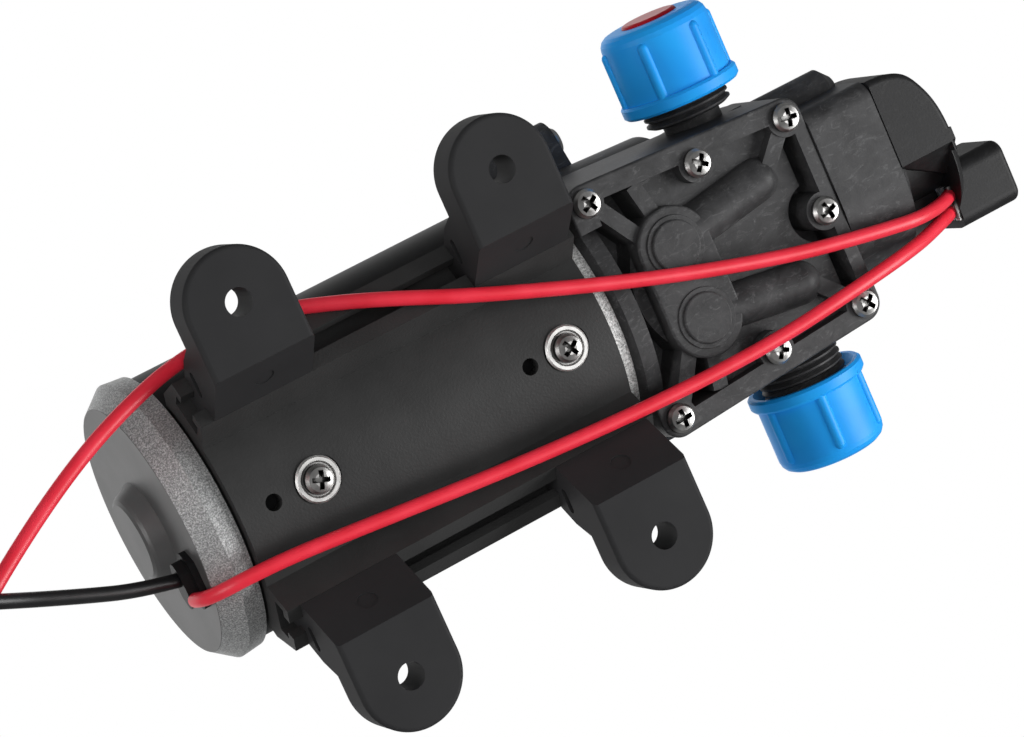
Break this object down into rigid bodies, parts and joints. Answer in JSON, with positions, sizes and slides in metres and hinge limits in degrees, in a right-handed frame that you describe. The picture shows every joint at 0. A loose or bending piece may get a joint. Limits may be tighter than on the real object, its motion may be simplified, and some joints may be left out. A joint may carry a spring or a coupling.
{
  "type": "diaphragm water pump",
  "caption": "Small caravan water pump: motor in a round can, screwed pump head with two threaded side ports, pressure switch at its end, and sliding feet on a saddle.",
  "frame": {"origin": "centre of the four mounting holes, on the mounting plane of the feet's ears", "axes": "+X along the motor towards the pump head, +Y across the motor towards the inlet port, +Z away from the mounting plane"},
  "size_m": [0.2462, 0.0913, 0.0761],
  "materials": {
    "black_plastic": "satin black moulded plastic",
    "black_head_plastic": "mottled satin black filled plastic",
    "black_rubber": "black rubber",
    "can_paint": "smooth black paint",
    "cast_cap": "sparkling sand-cast grey with a painted face",
    "cast_flange": "light speckled casting",
    "bright_steel": "bright nickel plate",
    "steel": "turned steel",
    "lamination_steel": "stacked laminations",
    "magnet_ceramic": "sintered magnet",
    "copper": "enamelled and bare copper",
    "graphite": "pressed carbon",
    "blue_plastic": "blue moulded plastic",
    "red_plug": "soft glossy red plastic",
    "red_insulation": "red wire insulation",
    "black_insulation": "black wire insulation",
    "tinned_copper": "bare stranded copper",
    "potting_resin": "shiny potting resin",
    "white_plastic": "pale engineering plastic"
  },
  "bodies": {
    "pump": {"mounting_saddle": "black_plastic", "saddle_screws": "bright_steel", "saddle_washers": "bright_steel", "motor_can": "can_paint", "motor_rear_cap": "cast_cap", "terminal_block": "black_plastic", "rear_bush": "steel", "motor_front_flange": "cast_flange", "front_bearing_outer_ring": "steel", "magnets": "magnet_ceramic", "brush_holder": "white_plastic", "brushes": "graphite", "brush_springs": "steel", "diaphragm": "black_rubber", "pump_body": "black_head_plastic", "body_screws": "bright_steel", "head_cover": "black_head_plastic", "cover_screws": "bright_steel", "valve_gasket": "black_rubber", "valve_plate": "white_plastic", "inlet_valve": "black_rubber", "outlet_valve": "black_rubber", "pressure_switch_housing": "black_head_plastic", "pressure_diaphragm": "black_rubber", "switch_spring": "steel", "microswitch": "black_plastic", "switch_screws": "bright_steel", "wire_entry_seal": "potting_resin", "red_lead_stripped_end": "tinned_copper", "black_lead_stripped_end": "tinned_copper", "red_supply_lead": "red_insulation", "red_link_lead": "red_insulation", "black_supply_lead": "black_insulation"},
    "rotor": {"motor_shaft": "steel", "armature_core": "lamination_steel", "armature_windings": "copper", "commutator": "copper", "front_bearing_inner_ring": "steel", "eccentric": "steel", "eccentric_grub_screw": "steel", "eccentric_bearing_inner_ring": "steel"},
    "rod": {"connecting_rod": "white_plastic", "eccentric_bearing_outer_ring": "steel", "diaphragm_clamp_plate": "white_plastic", "diaphragm_clamp_screw": "steel"},
    "rear_right_foot": {"foot_rear_right": "black_plastic"},
    "rear_left_foot": {"foot_rear_left": "black_plastic"},
    "front_right_foot": {"foot_front_right": "black_plastic"},
    "front_left_foot": {"foot_front_left": "black_plastic"},
    "inlet_plug": {"inlet_transport_plug": "red_plug"},
    "inlet_nut": {"inlet_port_nut": "blue_plastic"},
    "outlet_plug": {"outlet_transport_plug": "red_plug"},
    "outlet_nut": {"outlet_port_nut": "blue_plastic"},
    "switch_plunger": {"switch_piston": "white_plastic", "microswitch_button": "white_plastic"}
  },
  "joints": [
    {"name": "rotor_spin", "type": "hinge", "parent": "pump", "child": "rotor", "pos_m": [0, 0, 0.0415], "axis": [1, 0, 0], "continuous": true, "deforming": ["diaphragm"]},
    {"name": "rod_on_eccentric", "type": "hinge", "parent": "rotor", "child": "rod", "pos_m": [0.062, 0, 0.04], "axis": [1, 0, 0], "continuous": true},
    {"name": "rear_right_foot_slide", "type": "slide", "parent": "pump", "child": "rear_right_foot", "axis": [1, 0, 0], "range_m": [-0.002, 0.0019]},
    {"name": "front_right_foot_slide", "type": "slide", "parent": "pump", "child": "front_right_foot", "axis": [1, 0, 0], "range_m": [-0.002, 0.0019]},
    {"name": "rear_left_foot_slide", "type": "slide", "parent": "pump", "child": "rear_left_foot", "axis": [1, 0, 0], "range_m": [-0.002, 0.0019]},
    {"name": "front_left_foot_slide", "type": "slide", "parent": "pump", "child": "front_left_foot", "axis": [1, 0, 0], "range_m": [-0.002, 0.0019]},
    {"name": "inlet_nut_travel", "type": "slide", "parent": "pump", "child": "inlet_plug", "axis": [0, 1, 0], "range_m": [0, 0.0066]},
    {"name": "inlet_nut_turn", "type": "hinge", "parent": "inlet_plug", "child": "inlet_nut", "pos_m": [0.0759, 0.0376, 0.029], "axis": [0, 1, 0], "range_deg": [0, 1800]},
    {"name": "outlet_nut_travel", "type": "slide", "parent": "pump", "child": "outlet_plug", "axis": [0, -1, 0], "range_m": [0, 0.0066]},
    {"name": "outlet_nut_turn", "type": "hinge", "parent": "outlet_plug", "child": "outlet_nut", "pos_m": [0.0759, -0.0376, 0.029], "axis": [0, -1, 0], "range_deg": [0, 1800]},
    {"name": "switch_plunger_travel", "type": "slide", "parent": "pump", "child": "switch_plunger", "axis": [1, 0, 0], "range_m": [0, 0.0006], "stiffness_N_per_m": 700, "springref_m": -0.003, "deforming": ["switch_spring"]}
  ],
  "couplings": [
    {"joint": "rod_on_eccentric", "follows": "rotor_spin", "ratio": -1},
    {"joint": "inlet_nut_turn", "follows": "inlet_nut_travel", "rad_per_m": 4699.5},
    {"joint": "outlet_nut_turn", "follows": "outlet_nut_travel", "rad_per_m": 4699.5}
  ]
}
